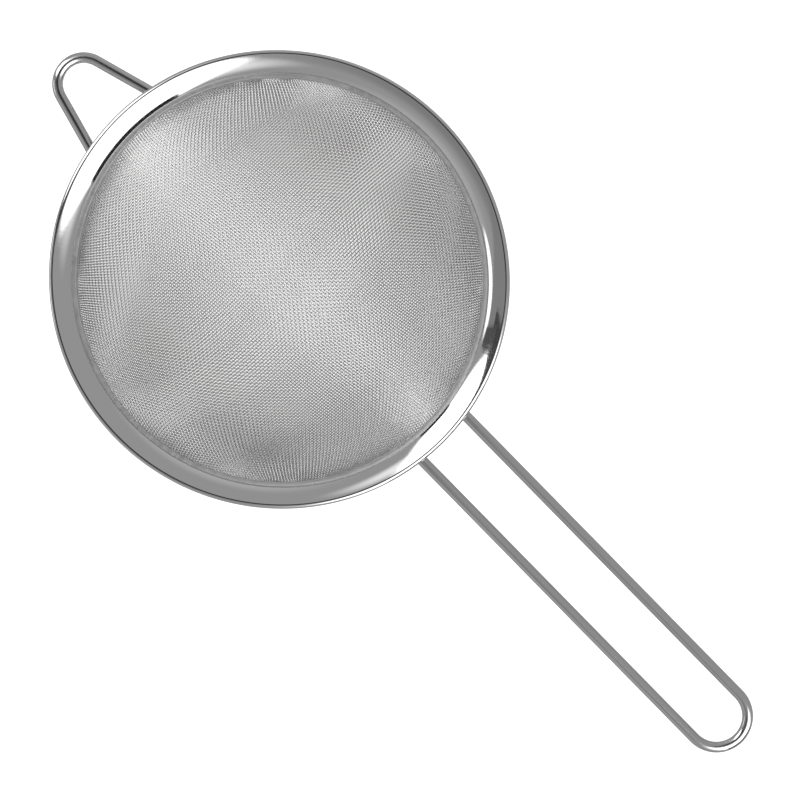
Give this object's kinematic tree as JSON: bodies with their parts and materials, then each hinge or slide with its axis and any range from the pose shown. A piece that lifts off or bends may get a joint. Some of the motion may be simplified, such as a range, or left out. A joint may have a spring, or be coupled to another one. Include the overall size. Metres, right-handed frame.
{
  "type": "tea strainer",
  "caption": "Round hand strainer: woven wire bowl clamped in a flanged rim with a rolled edge, a long looped wire handle and a V-shaped wire rest hook opposite it.",
  "frame": {"origin": "lowest point of the bowl, on the bowl's axis, at the centre of its small bottom flat", "axes": "+Z along the bowl's axis, out of its open side; +X along the handle, away from the bowl; the rest hook is on -X"},
  "size_m": [0.21, 0.1, 0.0397],
  "materials": {
    "rim": "polished stainless sheet with faint radial brushing",
    "mesh": "bright drawn wire, plain weave",
    "clamp": "satin stainless sheet",
    "wire": "polished drawn wire"
  },
  "bodies": {
    "root": {"rim_ring": "rim", "mesh_bowl": "mesh", "clamp_ring": "clamp", "handle_wire": "wire", "hook_wire": "wire"}
  },
  "joints": []
}
